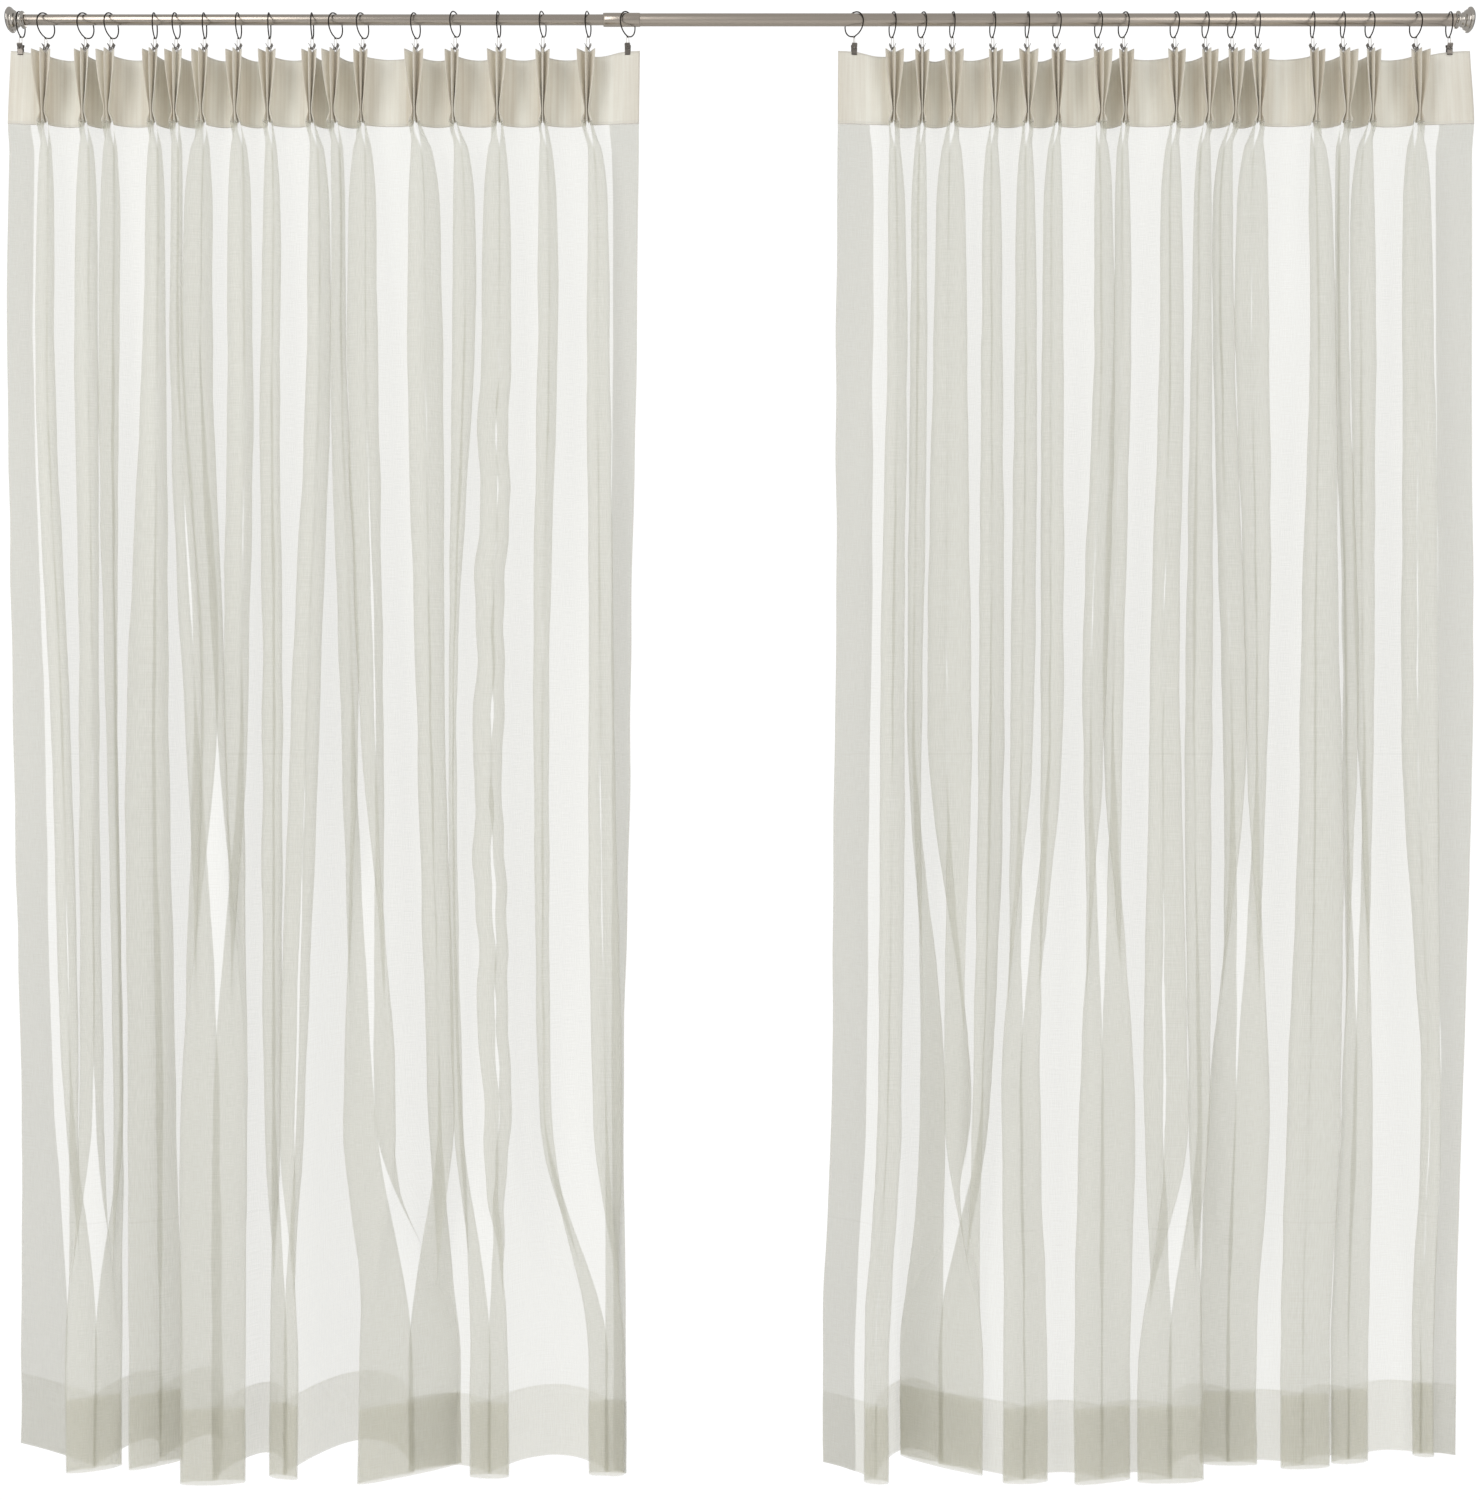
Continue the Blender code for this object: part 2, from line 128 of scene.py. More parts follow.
FOLDS = {
    "left": (
        ((1, 1098, 1068), (1, 1036, 999), (1, 994, 965), (1, 926, 893), (1, 890, 869),
         (1, 866, 821), (1, 794, 756), (1, 746, 715), (1, 674, 638), (1, 635, 613),
         (1, 610, 562), (1, 519, 465), (1, 449, 410), (1, 400, 353), (1, 314, 282),
         (1, 240, 204)),
        ((1, 1064, 1032), (1, 1015, 986), (1, 975, 961), (1, 942, 879), (1, 854, 823),
         (1, 822, 787), (1, 784, 750), (1, 736, 704), (1, 690, 646), (1, 610, 583),
         (1, 581, 547), (1, 500, 455), (1, 449, 437), (1, 405, 360), (1, 317, 293),
         (1, 236, 195)),
        ((1, 1034, 1010), (1, 1007, 972), (1, 957, 943), (1, 935, 868), (3, 847, 745),
         (1, 722, 696), (1, 694, 658), (2, 601, 519), (1, 481, 439), (1, 433, 418),
         (1, 391, 348), (1, 307, 288), (1, 227, 180)),
        ((3, 1024, 948, -82, -52, 60), (1, 933, 860, -70, -30, 74), (3, 837, 742, -119, -112, 6),
         (2, 713, 664, -88, -104, 58), (3, 570, 430, -120, -46, -42), (2, 409, 349, -92, -94, -4),
         (2, 230, 174, -84, -86, 0)),
    ),
    "right": (
        ((1, 1081, 1030), (1, 989, 948), (1, 945, 928), (1, 924, 884), (1, 827, 771),
         (1, 766, 734), (1, 731, 703), (1, 692, 653), (1, 610, 584), (1, 581, 550),
         (1, 502, 469), (1, 463, 430), (1, 410, 376), (1, 351, 300), (1, 291, 265),
         (1, 262, 231)),
        ((1, 1084, 1024), (1, 980, 954), (1, 951, 931), (1, 925, 859), (1, 819, 782),
         (1, 781, 745), (1, 719, 679), (1, 676, 627), (1, 589, 558), (1, 557, 523),
         (1, 494, 459), (1, 452, 416), (1, 409, 367), (1, 354, 285), (1, 281, 258),
         (1, 255, 216)),
        ((1, 1086, 1056), (2, 976, 923), (1, 918, 835), (2, 810, 719), (1, 714, 680),
         (1, 677, 610), (2, 593, 507), (2, 456, 395), (1, 384, 357), (2, 354, 275),
         (1, 243, 206)),
        ((1, 1080, 1046, -18, -14, 12), (2, 970, 911, -34, -44, -8), (1, 904, 823, -56, -64, -26),
         (2, 796, 707, -48, -44, -6), (2, 698, 596, -104, -114, -70),
         (2, 588, 500, -102, -119, -72), (2, 462, 394, -106, -118, -62),
         (3, 367, 250, -88, -14, 18), (1, 223, 185, -116, -112, 0)),
    ),
}
# The outer and inner edges of each curtain: (height, distance from the rod's middle), in metres.
EDGES = {
    "left": (((-0.05, 1.136), (-0.17, 1.141), (-0.59, 1.146), (-1.06, 1.141),
              (-1.53, 1.133), (-2.24, 1.138)),
             ((-0.05, 0.156), (-0.59, 0.163), (-1.06, 0.169), (-1.84, 0.178), (-2.24, 0.173))),
    "right": (((-0.05, 1.137), (-0.17, 1.144), (-1.06, 1.144), (-1.69, 1.125), (-2.24, 1.114)),
              ((-0.05, 0.153), (-1.06, 0.148), (-1.84, 0.138), (-2.24, 0.128))),
}

# Each ring's turn about the vertical, in degrees, from the outer edge of its curtain.
RING_TURNS = {
    "left": (2, -22, -21, -15, 7, -1, 7, 2, 8, 7, -22, -18, -13, -17, -2, -10, -9, -34),
    "right": (-6, 9, 3, -8, -8, -5, 5, 2, 8, 14, 7, 10, 1, 6, 6, 16, 12, 46),
}
RING_R = 0.0186
RING_WIRE_R = 0.0010
RING_DIP = 0.0016  # where the link sits
CLIP_TOP = -0.0375
CLIP_WIDTH = 0.0088
CLIP_PIVOT = 0.0072  # below the clip's top
LINK_WIRE_R = 0.0005

CAMERA_AWAY = 2.7
PICTURE_MIDDLE_Z = -1.139
VIEW_HEIGHT = 2.34  # what the camera takes in at the rod
SEEN_WHITE = 1.05  # the brightness of the room, as the camera sees it
ROOM_GLOW = 0.54  # and as it lights the curtains


# ---------------------------------------------------------------- materials


class Value:
    """A shader socket that Python's operators work on."""

    def __init__(self, tree, socket):
        self.tree = tree
        self.socket = socket

    def _math(self, operation, *values):
        return self.tree.node("ShaderNodeMath", {"operation": operation}, *values)

    def __add__(self, other):
        return self._math("ADD", self, other)

    def __sub__(self, other):
        return self._math("SUBTRACT", self, other)

    def __mul__(self, other):
        return self._math("MULTIPLY", self, other)

    def __truediv__(self, other):
        return self._math("DIVIDE", self, other)

    def __rsub__(self, other):
        return self._math("SUBTRACT", other, self)

    def __rtruediv__(self, other):
        return self._math("DIVIDE", other, self)

    def __lt__(self, other):
        return self._math("LESS_THAN", self, other)

    def __gt__(self, other):
        return self._math("GREATER_THAN", self, other)

    __radd__ = __add__
    __rmul__ = __mul__


class Finish:
    """A material under construction."""

    def __init__(self, name):
        self.material = bpy.data.materials.new(name)
        self.material.use_nodes = True
        self.tree = self.material.node_tree
        self.shader = self.tree.nodes["Principled BSDF"]

    def node(self, kind, settings=None, *values, output=0, **named):
        node = self.tree.nodes.new(kind)
        for key, value in (settings or {}).items():
            if key == "stops":
                self._ramp(node.color_ramp, value)
            else:
                setattr(node, key, value)
        for key, value in [*enumerate(values), *named.items()]:
            self._feed(node.inputs[key.replace("_", " ") if isinstance(key, str) else key], value)
        return Value(self, node.outputs[output])

    def _ramp(self, ramp, stops):
        while len(ramp.elements) < len(stops):
            ramp.elements.new(0.5)
        for element, (place, colour) in zip(ramp.elements, stops):
            element.position = place
            element.color = (*colour, 1.0)

    def _feed(self, socket, value):
        if isinstance(value, Value):
            self.tree.links.new(value.socket, socket)
        elif value is not None:
            socket.default_value = value

    def set(self, **inputs):
        for key, value in inputs.items():
            self._feed(self.shader.inputs[key.replace("_", " ")], value)

    def bump(self, height, distance, strength=1.0):
        normal = self.node("ShaderNodeBump", None, Strength=strength, Distance=distance,
                           Height=height)
        self.set(Normal=normal)

    def mix_colour(self, share, first, second):
        node = self.tree.nodes.new("ShaderNodeMix")
        node.data_type = "RGBA"
        self._feed(node.inputs["Factor"], share)
        for socket, value in ((node.inputs[6], first), (node.inputs[7], second)):
            self._feed(socket, value if isinstance(value, Value) else (*value, 1.0))
        return Value(self, node.outputs[2])

    def stretched(self, place, scale):
        return self.node("ShaderNodeMapping", None, Vector=place, Scale=scale)

    def noise(self, place, scale, detail=2.0, roughness=0.5):
        return self.node("ShaderNodeTexNoise", None, Vector=place, Scale=scale, Detail=detail,
                         Roughness=roughness)

    def parts(self, vector):
        node = self.tree.nodes.new("ShaderNodeSeparateXYZ")
        self._feed(node.inputs[0], vector)
        return [Value(self, socket) for socket in node.outputs]

    def level(self, value, low, high, to_low=0.0, to_high=1.0):
        return self.node("ShaderNodeMapRange", None, value, low, high, to_low, to_high)


def threads(finish, cloth, pitch):
    """Raised thread rows both ways, 0 to 1, on cloth coordinates in metres."""
    across, down, _ = finish.parts(cloth)
    turns = 2 * pi / pitch
    warp = finish.node("ShaderNodeMath", {"operation": "SINE"}, across * turns)
    weft = finish.node("ShaderNodeMath", {"operation": "SINE"}, down * turns)
    return (warp * weft) * 0.25 + (warp + weft) * 0.125 + 0.5


def slubs(finish, cloth):
    """Thicker stretches of thread, down and across the cloth, 0 to 1."""
    down = finish.noise(finish.stretched(cloth, (1400, 45, 1)), 1.0, 2.0)
    across = finish.noise(finish.stretched(cloth, (60, 1500, 1)), 1.0, 2.0)
    return down * 0.5 + across * 0.5


def line_of_stitches(finish, place, along, middle, half=0.0006, pitch=0.0032):
    """A dashed line, 1 on a stitch."""
    near = finish.node("ShaderNodeMath", {"operation": "ABSOLUTE"}, place - middle)
    dash = finish.node("ShaderNodeMath", {"operation": "FRACT"}, along / pitch)
    return (near < half) * (dash < 0.68)


def sheer_cloth(name, alpha, colour, doubled=False):
    """Thin open linen weave. Its cloth coordinates are metres along the width and the height."""
    finish = Finish(name)
    cloth = finish.node("ShaderNodeUVMap", {"uv_map": "cloth"})
    across, down, _ = finish.parts(cloth)
    weave = threads(finish, cloth, 0.0011)
    slub = slubs(finish, cloth)
    broad = finish.noise(finish.stretched(cloth, (9, 1.3, 1)), 1.0, 3.0)
    tone = finish.level(slub * 0.6 + broad * 0.4, 0.36, 0.64)
    pale = tuple(min(1.0, c * 1.03) for c in colour)
    dull = tuple(c * 0.97 for c in colour)
    # Painted shade: along each packet crease the cloth is painted darker, in patches, standing in
    # for the crease's shadow.
    patchy = finish.level(finish.noise(finish.stretched(cloth, (7, 3, 1)), 1.0), 0.45, 0.62)
    crease_shade = 0.0
    for fold_down in PACKET_FOLDS:
        away = finish.node("ShaderNodeMath", {"operation": "ABSOLUTE"}, down - fold_down)
        crease_shade = finish.level(away, 0.0, 0.0022, 1.0, 0.0) * patchy + crease_shade
    cover = finish.level(slub, 0.30, 0.70, alpha - 0.035, alpha + 0.035)
    cover = cover + (weave - 0.5) * 0.05
    if doubled:
        cover = cover + line_of_stitches(finish, down, across, HEM_DEPTH_DOWN) * 0.12
    # The colour of the painted crease shade.
    creased = tuple(c * 0.86 for c in colour)
    shade = finish.mix_colour(crease_shade * 0.5, finish.mix_colour(tone, dull, pale), creased)
    finish.set(Base_Color=shade, Alpha=cover, Roughness=0.85,
               Sheen_Weight=0.15, Sheen_Roughness=0.5, Specular_IOR_Level=0.25)
    finish.bump(weave * 0.6 + slub * 0.8, 0.0002, 0.3)
    return finish.material


def header_cloth():
    """The band: the same weave folded over a stiff strip, so that it hides what is behind it."""
    finish = Finish("header_linen")
    cloth = finish.node("ShaderNodeUVMap", {"uv_map": "cloth"})
    across, down, _ = finish.parts(cloth)
    weave = threads(finish, cloth, 0.0011)
    slub = slubs(finish, cloth)
    broad = finish.noise(finish.stretched(cloth, (26, 2.5, 1)), 1.0, 2.0, 0.5)
    streaks = finish.noise(finish.stretched(cloth, (150, 3.5, 1)), 1.0, 3.0, 0.6)
    period = PLEAT_CLOTH + FLAT_CLOTH
    place = finish.node("ShaderNodeMath", {"operation": "FRACT"},
                        (across - OUTER_EDGE_CLOTH - PLEAT_CLOTH / 2) / period)
    from_flat = finish.node("ShaderNodeMath", {"operation": "ABSOLUTE"}, place - 0.5)
    # Painted light: the middle of each flat is painted lighter, standing in for light shining
    # through the band from behind.
    glow = finish.level(from_flat, 0.02, 0.24, 0.16, 0.0)
    tone = finish.level(broad * 0.50 + streaks * 0.35 + slub * 0.15 + glow, 0.38, 0.70)
    body = finish.mix_colour(tone, (0.71, 0.64, 0.525), (0.97, 0.95, 0.855))
    stitch = line_of_stitches(finish, down, across, HEADER_TOP - HEADER_BOTTOM - 0.004)
    fold = finish.node("ShaderNodeMath", {"operation": "ABSOLUTE"},
                       down - (HEADER_TOP - HEADER_BOTTOM))
    colour = finish.mix_colour(finish.level(fold, 0.0, 0.004, 0.6, 0.0), body,
                               (0.87, 0.84, 0.77))
    colour = finish.mix_colour(stitch * 0.6, colour, (0.90, 0.87, 0.80))
    finish.set(Base_Color=colour, Roughness=0.82, Sheen_Weight=0.2, Sheen_Roughness=0.5,
               Specular_IOR_Level=0.25)
    finish.bump(weave * 0.7 + slub * 0.9 + stitch * 1.2, 0.0004, 0.7)
    return finish.material


def brushed_nickel(name, colour, roughness, scale):
    """Satin metal with fine brushing round the tube, and a few faint marks along it."""
    finish = Finish(name)
    place = finish.node("ShaderNodeTexCoord", output=3)
    brushing = finish.noise(finish.stretched(place, scale), 1.0, 3.0, 0.6)
    marks = finish.noise(finish.stretched(place, (3, 90, 90)), 1.0, 4.0, 0.65)
    clouds = finish.noise(place, 14.0, 2.0)
    tone = finish.level(clouds * 0.4 + marks * 0.3 + brushing * 0.3, 0.35, 0.65)
    dull = tuple(c * 0.95 for c in colour)
    finish.set(Base_Color=finish.mix_colour(tone, dull, colour), Metallic=1.0,
               Roughness=finish.level(marks, 0.3, 0.7, roughness * 0.95, roughness * 1.06))
    return finish.material


def moulded(name, colour, roughness, grain, depth):
    """Plastic or rubber, with a fine moulded grain."""
    finish = Finish(name)
    place = finish.node("ShaderNodeTexCoord", output=3)
    fine = finish.noise(place, grain, 3.0)
    broad = finish.noise(place, grain / 9, 2.0)
    dull = tuple(c * 0.85 for c in colour)
    finish.set(Base_Color=finish.mix_colour(finish.level(broad, 0.3, 0.7), dull, colour),
               Roughness=finish.level(fine, 0.3, 0.7, roughness * 0.9, roughness * 1.1))
    finish.bump(fine, depth, 0.6)
    return finish.material


# ---------------------------------------------------------------- helpers


def add_piece(name, mesh, material, body):
    piece = bpy.data.objects.new(name, mesh)
    bpy.context.scene.collection.objects.link(piece)
    if material and not mesh.materials:
        mesh.materials.append(material)
    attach(piece, body)
    return piece


def grid_mesh(name, points, cloth_u, cloth_v):
    """A mesh through a grid of points (rows, columns, 3), with cloth coordinates as its UVs."""
    rows, columns = points.shape[:2]
    index = np.arange(rows * columns).reshape(rows, columns)
    quads = np.stack([index[:-1, :-1], index[1:, :-1], index[1:, 1:], index[:-1, 1:]], -1)
    quads = quads.reshape(-1, 4)
    mesh = bpy.data.meshes.new(name)
    mesh.vertices.add(rows * columns)
    mesh.vertices.foreach_set("co", points.reshape(-1).astype(np.float32))
    mesh.loops.add(quads.size)
    mesh.loops.foreach_set("vertex_index", quads.reshape(-1))
    mesh.polygons.add(len(quads))
    mesh.polygons.foreach_set("loop_start", np.arange(0, quads.size, 4))
    mesh.update(calc_edges=True)
    layer = mesh.uv_layers.new(name="cloth")
    uv = np.stack([np.broadcast_to(cloth_u, (rows, columns)),
                   np.broadcast_to(cloth_v[:, None], (rows, columns))], -1).reshape(-1, 2)
    layer.data.foreach_set("uv", uv[quads.reshape(-1)].reshape(-1).astype(np.float32))
    mesh.shade_smooth()
    return mesh


def turned_mesh(name, outline, sides=96):
    """A solid of revolution about X from (distance along X, radius) points."""
    bm = bmesh.new()
    rings = []
    for along, radius in outline:
        if radius < 1e-7:
            rings.append([bm.verts.new((along, 0, 0))])
            continue
        rings.append([bm.verts.new((along, radius * cos(2 * pi * k / sides),
                                    radius * sin(2 * pi * k / sides))) for k in range(sides)])
    for first, second in zip(rings, rings[1:]):
        for k in range(sides):
            corner = [first[k % len(first)], first[(k + 1) % len(first)],
                      second[(k + 1) % len(second)], second[k % len(second)]]
            face = list(dict.fromkeys(corner))
            if len(face) > 2:
                bm.faces.new(face)
    bmesh.ops.recalc_face_normals(bm, faces=bm.faces)
    mesh = bpy.data.meshes.new(name)
    bm.to_mesh(mesh)
    bm.free()
    mesh.shade_smooth()
    mesh.set_sharp_from_angle(angle=radians(32))
    return mesh


def wire_mesh(name, path, radius, closed=False, sides=10):
    """Round wire along a path of points."""
    path = [Vector(p) for p in path]
    count = len(path)
    bm = bmesh.new()
    rings = []
    normal = None
    for i, point in enumerate(path):
        before = path[i - 1] if closed or i else point
        after = path[(i + 1) % count] if closed or i < count - 1 else point
        tangent = (after - before).normalized()
        if normal is None:
            normal = tangent.orthogonal().normalized()
        normal = (normal - tangent * normal.dot(tangent)).normalized()
        side = tangent.cross(normal)
        rings.append([bm.verts.new(point + radius * (cos(2 * pi * k / sides) * normal
                                                     + sin(2 * pi * k / sides) * side))
                      for k in range(sides)])
    pairs = list(zip(rings, rings[1:]))
    for first, second in pairs:
        for k in range(sides):
            bm.faces.new((first[k], first[(k + 1) % sides], second[(k + 1) % sides], second[k]))
    if closed:
        first, second = rings[-1], rings[0]
        shift = min(range(sides), key=lambda s: sum((first[k].co - second[(k + s) % sides].co)
                                                    .length for k in range(sides)))
        for k in range(sides):
            bm.faces.new((first[k], first[(k + 1) % sides],
                          second[(k + 1 + shift) % sides], second[(k + shift) % sides]))
    else:
        bm.faces.new(rings[0])
        bm.faces.new(rings[-1])
    bmesh.ops.recalc_face_normals(bm, faces=bm.faces)
    mesh = bpy.data.meshes.new(name)
    bm.to_mesh(mesh)
    bm.free()
    mesh.shade_smooth()
    mesh.set_sharp_from_angle(angle=radians(50))
    return mesh


def join_meshes(name, parts):
    """One mesh from several (mesh, matrix) pairs; their materials must be set already."""
    bm = bmesh.new()
    materials = []
    for mesh, matrix in parts:
        start = len(bm.verts)
        faces = len(bm.faces)
        bm.from_mesh(mesh)
        bm.verts.ensure_lookup_table()
        bm.faces.ensure_lookup_table()
        for vert in bm.verts[start:]:
            vert.co = matrix @ vert.co
        material = mesh.materials[0]
        if material not in materials:
            materials.append(material)
        for face in bm.faces[faces:]:
            face.material_index = materials.index(material)
    mesh = bpy.data.meshes.new(name)
    bm.to_mesh(mesh)
    bm.free()
    for material in materials:
        mesh.materials.append(material)
    return mesh


# ---------------------------------------------------------------- the curtains' surface


def eased(places, values, at):
    """Smooth monotone interpolation of values (rows, ...) at heights, with no overshoot."""
    places = np.asarray(places, float)
    values = np.asarray(values, float)
    order = np.argsort(places)
    places, values = places[order], values[order]
    gaps = np.diff(places).reshape(-1, *[1] * (values.ndim - 1))
    slopes = np.diff(values, axis=0) / gaps
    tangents = np.zeros_like(values)
    inner = slopes[:-1] * slopes[1:]
    mean = 2 * inner / np.where(np.abs(slopes[:-1] + slopes[1:]) < 1e-12, 1,
                                slopes[:-1] + slopes[1:])
    tangents[1:-1] = np.where(inner > 0, mean, 0)
    tangents[0], tangents[-1] = slopes[0], slopes[-1]
    at = np.clip(np.asarray(at, float), places[0], places[-1])
    k = np.clip(np.searchsorted(places, at) - 1, 0, len(places) - 2)
    shape = (-1, *[1] * (values.ndim - 1))
    h = (places[k + 1] - places[k]).reshape(shape)
    t = (at - places[k]).reshape(shape) / h
    return ((1 + 2 * t) * (1 - t) ** 2 * values[k] + t * (1 - t) ** 2 * h * tangents[k]
            + t * t * (3 - 2 * t) * values[k + 1] + t * t * (t - 1) * h * tangents[k + 1])


def ring_places(side):
    """Distances of the clip rings from the rod's middle, from the outer edge in."""
    places = []
    for number in range(1, CLIPS + 1):
        low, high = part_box(f"{side}_clip_ring_{number:02d}")
        places.append(abs((low[0] + high[0]) / 2 - ROD_MIDDLE))
    return places


def fingers(spread, reach, root):
    """A three-finger pleat's guide points in millimetres, (along the rod, forward)."""
    half = [
        (-root - 1.2, 5), (-root, 1), (-root * 0.8 - spread * 0.72, -reach * 0.62),
        (-spread * 1.04 - 1.0, -reach * 0.93), (-spread * 0.80, -reach * 0.70),
        (-root * 0.45, -3), (-root * 0.25 - spread * 0.10, -reach * 0.70),
    ]
    return half + [(0, -reach * 1.06)] + [(-x, y) for x, y in reversed(half)]


def tube_points(count, outer, inner, fronts, back, lean=0.0):
    """A fold seen from above: a flattened loop closed at its back, from its outer side round."""
    centre, half_width = (outer + inner) / 2, (outer - inner) / 2
    front = sum(fronts) / 2
    share = np.linspace(0, 1, count)
    angle = 2 * pi * share - 0.55 * np.sin(2 * pi * share)
    across, forward = np.sin(angle), np.cos(angle)
    x = half_width * np.sign(across) * np.abs(across) ** 0.75
    y = (front + back) / 2 + (back - front) / 2 * np.sign(forward) * np.abs(forward) ** 0.75
    # The guide ends cross at the loop's back, because smoothing opens it again by as much.
    ends = np.exp(-(share * 16) ** 2) - np.exp(-((1 - share) * 16) ** 2)
    crossing = (3.0 + 0.060 * half_width) * ends
    tilt = (fronts[0] - fronts[1]) / 2 * x / half_width
    bow = 0.06 * half_width * (1 - (x / half_width) ** 2)
    return np.stack([centre + x - crossing + lean * (y - back), y + tilt - bow], -1)


def fold_row(folds, edges, front, back, neck):
    """Guide points across a curtain at one height, in millimetres."""
    span = PLEAT_POINTS + FLAT_POINTS
    groups = []
    for number, (count, outer, inner) in enumerate(folds):
        vary = 1 + 0.12 * sin(2.3 * number + 0.7 * count)
        depth = (front - neck) * vary * min(1.0, 0.55 + (outer - inner) / 110)
        tilt = 0.10 * sin(2.1 * number + 0.5) * (outer - inner)
        fronts = (neck + depth + tilt, neck + depth - tilt)
        groups.append(tube_points(count * span - FLAT_POINTS, outer, inner, fronts, neck,
                                  0.16 * sin(1.7 * number + 1.1)))
    row = [edge_points((edges[0], 4), groups[0][0])]
    for number, group in enumerate(groups):
        row.append(group)
        if number < len(groups) - 1:
            gap = abs(group[-1][0] - groups[number + 1][0][0])
            bulge = (back - neck) * min(1.0, 0.35 + gap / 70)
            row.append(hollow(group[-1], groups[number + 1][0], bulge))
    row.append(edge_points((edges[1], 4), groups[-1][-1])[::-1])
    return np.concatenate(row)


def hem_row(folds, edges, corners):
    """The guide points at the hem, where each fold's front and each hollow has its own place."""
    span = PLEAT_POINTS + FLAT_POINTS
    groups = [tube_points(count * span - FLAT_POINTS, outer, inner, fronts,
                          sum(fronts) / 2 + FOLD_DEPTH)
              for count, outer, inner, *fronts, _ in folds]
    row = [edge_points((edges[0], corners[0]), groups[0][0])]
    for group, following, fold in zip(groups, groups[1:], folds):
        middle = (group[-1][1] + following[0][1]) / 2
        row += [group, hollow(group[-1], following[0], fold[-1] - middle)]
    row += [groups[-1], edge_points((edges[1], corners[1]), groups[-1][-1])[::-1]]
    return np.concatenate(row)


def hollow(start, end, bulge):
    """The flat cloth between two pleats, bowed back."""
    share = (np.arange(FLAT_POINTS) + 1) / (FLAT_POINTS + 1)
    line = start + (end - start) * share[:, None]
    line[:, 1] += bulge * np.sin(pi * share) ** 0.8
    return line


def edge_points(edge, neck, bow=5.0):
    """The flat cloth from a curtain's edge to its nearest pleat."""
    share = np.arange(EDGE_POINTS) / EDGE_POINTS
    line = np.asarray(edge) + (np.asarray(neck) - edge) * share[:, None]
    line[:, 1] += bow * np.sin(pi * share)
    return line


def header_row(places, edges, spread, reach, bow, root):
    """Guide points across the header at one height, in millimetres."""
    row = [edge_points((edges[0], -3), (places[1], 5), 0.0)]
    shape = np.asarray(fingers(spread, reach, root), float)
    pleats = places[1:-1]
    for number, place in enumerate(pleats):
        swing = 1 + 0.16 * sin(2.9 * number + 1.3)
        lean = 0.10 * sin(1.9 * number + 0.4)
        group = shape * (swing, 1 + 0.07 * sin(3.1 * number))
        group[:, 0] = place - group[:, 0] + lean * group[:, 1]
        row.append(group)
        if number < len(pleats) - 1:
            gap = place - pleats[number + 1]
            bulge = bow * min(1.25, max(0.55, 1.7 - gap / 75))
            row.append(hollow(group[-1], (pleats[number + 1], 5), bulge))
    row.append(edge_points((edges[1], -3), (places[-2], 5), 0.0)[::-1])
    return np.concatenate(row)


def guide_rows(side):
    """Heights of the guide rows, and the rows, in metres."""
    places = [place / MM for place in ring_places(side)]
    outer, inner = EDGES[side]

    def edges_at(z):
        return [float(eased([h for h, _ in edge], [d for _, d in edge], [z])[0]) / MM
                for edge in (outer, inner)]

    rows = [(z, header_row(places, edges_at(z), *sizes)) for z, *sizes in HEADER_ROWS]
    first = FOLDS[side][0]
    for z, share in OPENING_ROWS:
        folds = []
        for place, (_, outer_edge, inner_edge) in zip(places[1:-1], first):
            centre = place + ((outer_edge + inner_edge) / 2 - place) * share
            half = max(9.0, (outer_edge - inner_edge) / 2 * share)
            folds.append((1, centre + half, centre - half))
        rows.append((z, fold_row(folds, edges_at(z), -24, 19, 8)))
    hem = hem_row(FOLDS[side][-1], edges_at(HEM_BOTTOM), CORNERS[side])
    for z, folds, front, back, neck, share in zip(FOLD_HEIGHTS, FOLDS[side], FOLD_FRONTS,
                                                  FOLD_BACKS, FOLD_NECKS, HEM_SHARES):
        row = fold_row(folds, edges_at(z), front, back, neck)
        row[:, 1] += share * (hem[:, 1] - row[:, 1])
        rows.append((z, row))
    rows += [(FOLD_HEIGHTS[-1], hem), (HEM_BOTTOM, hem.copy())]
    return [z for z, _ in rows], np.array([row for _, row in rows]) * MM


def smooth_curve(points, samples):
    """A uniform cubic B-spline through (rows, guide points, 2), clamped at both ends."""
    first = 2 * points[:, :1] - points[:, 1:2]
    last = 2 * points[:, -1:] - points[:, -2:-1]
    padded = np.concatenate([first, points, last], axis=1)
    count = points.shape[1] - 1
    share = np.arange(samples) / samples
    weights = np.stack([(1 - share) ** 3, 3 * share ** 3 - 6 * share ** 2 + 4,
                        -3 * share ** 3 + 3 * share ** 2 + 3 * share + 1, share ** 3], -1) / 6
    pieces = [padded[:, k:k + count] for k in range(4)]
    curve = sum(piece[:, :, None, :] * weights[None, None, :, k, None]
                for k, piece in enumerate(pieces))
    curve = curve.reshape(points.shape[0], count * samples, 2)
    return np.concatenate([curve, points[:, -1:]], axis=1)


def cloth_widths():
    """The cloth's own coordinate at each guide point, in metres from the outer edge."""
    steps = [OUTER_EDGE_CLOTH / EDGE_POINTS] * EDGE_POINTS
    for number in range(PLEATS):
        steps += [PLEAT_CLOTH / (PLEAT_POINTS - 1)] * (PLEAT_POINTS - 1)
        if number < PLEATS - 1:
            steps += [FLAT_CLOTH / (FLAT_POINTS + 1)] * (FLAT_POINTS + 1)
    steps += [INNER_EDGE_CLOTH / EDGE_POINTS] * EDGE_POINTS
    return np.concatenate([[0], np.cumsum(steps)])


